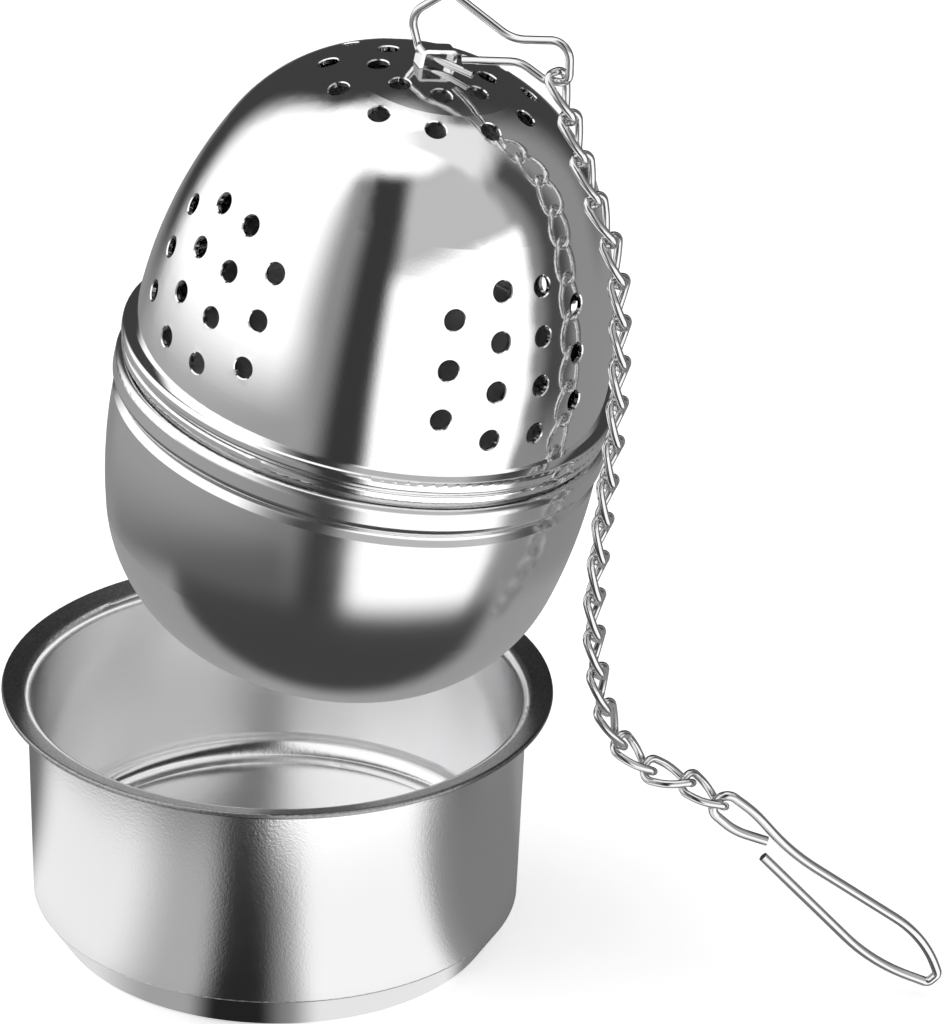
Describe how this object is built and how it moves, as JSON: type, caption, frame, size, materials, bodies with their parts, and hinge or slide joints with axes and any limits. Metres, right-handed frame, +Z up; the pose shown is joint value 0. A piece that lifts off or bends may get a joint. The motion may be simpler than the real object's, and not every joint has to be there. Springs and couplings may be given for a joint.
{
  "type": "tea infuser",
  "caption": "Egg-shaped steel tea infuser with a pierced dome on a plain bowl, a chain of twisted links with a cup hook, and a round drip dish.",
  "frame": {"origin": "centre of the drip dish's flat foot, on the table plane", "axes": "+Z up along the dish's axis, +X towards the side where the chain hangs, -Y the front"},
  "size_m": [0.0943, 0.0548, 0.1015],
  "materials": {
    "satin_steel": "satin stainless steel",
    "polished_steel": "polished stainless steel"
  },
  "bodies": {
    "dish": {"drip_dish": "satin_steel", "dish_base": "satin_steel"},
    "bowl": {"strainer_bowl": "satin_steel"},
    "dome": {"strainer_dome": "polished_steel", "top_staple": "polished_steel"},
    "clip": {"spring_clip": "polished_steel"},
    "link_01": {"chain_link_01": "polished_steel"},
    "link_02": {"chain_link_02": "polished_steel"},
    "link_03": {"chain_link_03": "polished_steel"},
    "link_04": {"chain_link_04": "polished_steel"},
    "link_05": {"chain_link_05": "polished_steel"},
    "link_06": {"chain_link_06": "polished_steel"},
    "link_07": {"chain_link_07": "polished_steel"},
    "link_08": {"chain_link_08": "polished_steel"},
    "link_09": {"chain_link_09": "polished_steel"},
    "link_10": {"chain_link_10": "polished_steel"},
    "link_11": {"chain_link_11": "polished_steel"},
    "link_12": {"chain_link_12": "polished_steel"},
    "link_13": {"chain_link_13": "polished_steel"},
    "link_14": {"chain_link_14": "polished_steel"},
    "link_15": {"chain_link_15": "polished_steel"},
    "link_16": {"chain_link_16": "polished_steel"},
    "link_17": {"chain_link_17": "polished_steel"},
    "link_18": {"chain_link_18": "polished_steel"},
    "link_19": {"chain_link_19": "polished_steel"},
    "link_20": {"chain_link_20": "polished_steel"},
    "hook": {"cup_hook": "polished_steel"}
  },
  "joints": [
    {"name": "egg_lift", "type": "slide", "parent": "dish", "child": "bowl", "axis": [0, 0, 1], "range_m": [-0.008, 0.03]},
    {"name": "dome_lift", "type": "slide", "parent": "bowl", "child": "dome", "axis": [0.177, -0.0384, 0.9835], "range_m": [0, 0.03]},
    {"name": "clip_swing", "type": "hinge", "parent": "dome", "child": "clip", "pos_m": [0.01432, -0.00135, 0.09432], "axis": [0.9063, -0.4226, 0], "range_deg": [0, 15]},
    {"name": "link_01_turn", "type": "hinge", "parent": "clip", "child": "link_01", "pos_m": [0.02556, -0.00654, 0.09534], "axis": [-0.821, -0.5544, -0.1368], "range_deg": [0, 8]},
    {"name": "link_02_turn", "type": "hinge", "parent": "link_01", "child": "link_02", "pos_m": [0.02717, -0.00782, 0.09081], "axis": [0.4695, -0.7917, 0.3909], "range_deg": [0, 8]},
    {"name": "link_03_turn", "type": "hinge", "parent": "link_02", "child": "link_03", "pos_m": [0.02812, -0.00872, 0.08788], "axis": [-0.8269, -0.5473, -0.1292], "range_deg": [0, 8]},
    {"name": "link_04_turn", "type": "hinge", "parent": "link_03", "child": "link_04", "pos_m": [0.0298, -0.01021, 0.08345], "axis": [0.4498, -0.7816, 0.4321], "range_deg": [0, 8]},
    {"name": "link_05_turn", "type": "hinge", "parent": "link_04", "child": "link_05", "pos_m": [0.03111, -0.01087, 0.08058], "axis": [-0.8137, -0.569, -0.119], "range_deg": [0, 8]},
    {"name": "link_06_turn", "type": "hinge", "parent": "link_05", "child": "link_06", "pos_m": [0.03225, -0.01149, 0.07578], "axis": [0.5343, -0.8127, 0.2325], "range_deg": [0, 8]},
    {"name": "link_07_turn", "type": "hinge", "parent": "link_06", "child": "link_07", "pos_m": [0.0324, -0.01183, 0.07259], "axis": [-0.82, -0.5717, 0.0265], "range_deg": [0, 8]},
    {"name": "link_08_turn", "type": "hinge", "parent": "link_07", "child": "link_08", "pos_m": [0.03252, -0.01223, 0.06764], "axis": [0.5718, -0.8165, 0.08], "range_deg": [0, 8]},
    {"name": "link_09_turn", "type": "hinge", "parent": "link_08", "child": "link_09", "pos_m": [0.03247, -0.01241, 0.06443], "axis": [-0.8168, -0.5733, 0.0643], "range_deg": [0, 8]},
    {"name": "link_10_turn", "type": "hinge", "parent": "link_09", "child": "link_10", "pos_m": [0.03219, -0.01257, 0.05947], "axis": [0.5742, -0.8187, -0.0057], "range_deg": [0, 8]},
    {"name": "link_11_turn", "type": "hinge", "parent": "link_10", "child": "link_11", "pos_m": [0.03186, -0.01264, 0.05628], "axis": [-0.8157, -0.5735, 0.0752], "range_deg": [0, 12]},
    {"name": "link_12_turn", "type": "hinge", "parent": "link_11", "child": "link_12", "pos_m": [0.03144, -0.0127, 0.05133], "axis": [0.5723, -0.8191, -0.0396], "range_deg": [0, 12]},
    {"name": "link_13_turn", "type": "hinge", "parent": "link_12", "child": "link_13", "pos_m": [0.03121, -0.01269, 0.04812], "axis": [-0.8176, -0.5736, 0.05], "range_deg": [0, 12]},
    {"name": "link_14_turn", "type": "hinge", "parent": "link_13", "child": "link_14", "pos_m": [0.03091, -0.01269, 0.04316], "axis": [0.5725, -0.8192, -0.035], "range_deg": [0, 12]},
    {"name": "link_15_turn", "type": "hinge", "parent": "link_14", "child": "link_15", "pos_m": [0.03098, -0.01269, 0.03995], "axis": [-0.8144, -0.5736, -0.088], "range_deg": [0, 12]},
    {"name": "link_16_turn", "type": "hinge", "parent": "link_15", "child": "link_16", "pos_m": [0.03151, -0.01269, 0.03501], "axis": [0.5703, -0.8192, 0.0616], "range_deg": [0, 12]},
    {"name": "link_17_turn", "type": "hinge", "parent": "link_16", "child": "link_17", "pos_m": [0.03207, -0.01269, 0.03183], "axis": [-0.7483, -0.5736, -0.3332], "range_deg": [0, 12]},
    {"name": "link_18_turn", "type": "hinge", "parent": "link_17", "child": "link_18", "pos_m": [0.03409, -0.01269, 0.02729], "axis": [0.524, -0.8192, 0.2333], "range_deg": [0, 12]},
    {"name": "link_19_turn", "type": "hinge", "parent": "link_18", "child": "link_19", "pos_m": [0.03644, -0.01269, 0.025], "axis": [-0.2667, -0.5736, -0.7745], "range_deg": [0, 12]},
    {"name": "link_20_turn", "type": "hinge", "parent": "link_19", "child": "link_20", "pos_m": [0.04114, -0.01269, 0.02338], "axis": [0.1867, -0.8192, 0.5423], "range_deg": [0, 12]},
    {"name": "hook_turn", "type": "hinge", "parent": "link_20", "child": "hook", "pos_m": [0.04439, -0.01269, 0.02086], "axis": [0.3371, -0.8192, 0.464], "range_deg": [-12, 12]}
  ]
}
